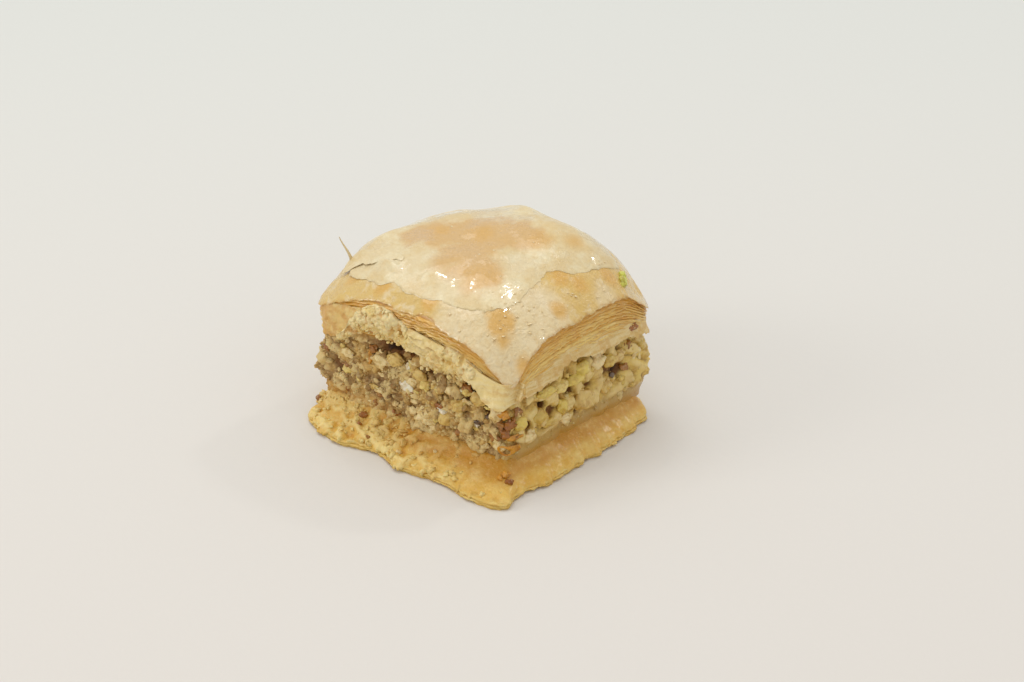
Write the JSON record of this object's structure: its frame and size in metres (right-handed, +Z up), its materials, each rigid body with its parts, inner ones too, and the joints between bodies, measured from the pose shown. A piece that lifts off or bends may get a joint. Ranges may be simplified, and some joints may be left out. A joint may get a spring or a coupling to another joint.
{
  "type": "baklava square",
  "caption": "Square piece of baklava: domed lid of torn pastry leaves, chopped nut filling and a soaked base of leaves that sticks out at the front.",
  "frame": {"origin": "on the level underside, below the centre of the cut square", "axes": "+Z up; -Y is the long front side with the broken leaves; +X is the cleanly cut side"},
  "size_m": [0.0601, 0.0538, 0.0392],
  "materials": {
    "soaked_pastry": "golden-amber pastry soaked with syrup, semi-gloss",
    "chopped_nuts": "chopped walnut and pistachio, damp and crumbly",
    "baked_leaves": "paper-thin baked leaves, cream to golden, brushed with syrup"
  },
  "bodies": {
    "root": {"base_pastry": "soaked_pastry", "nut_filling": "chopped_nuts", "top_pastry": "baked_leaves"}
  },
  "joints": []
}
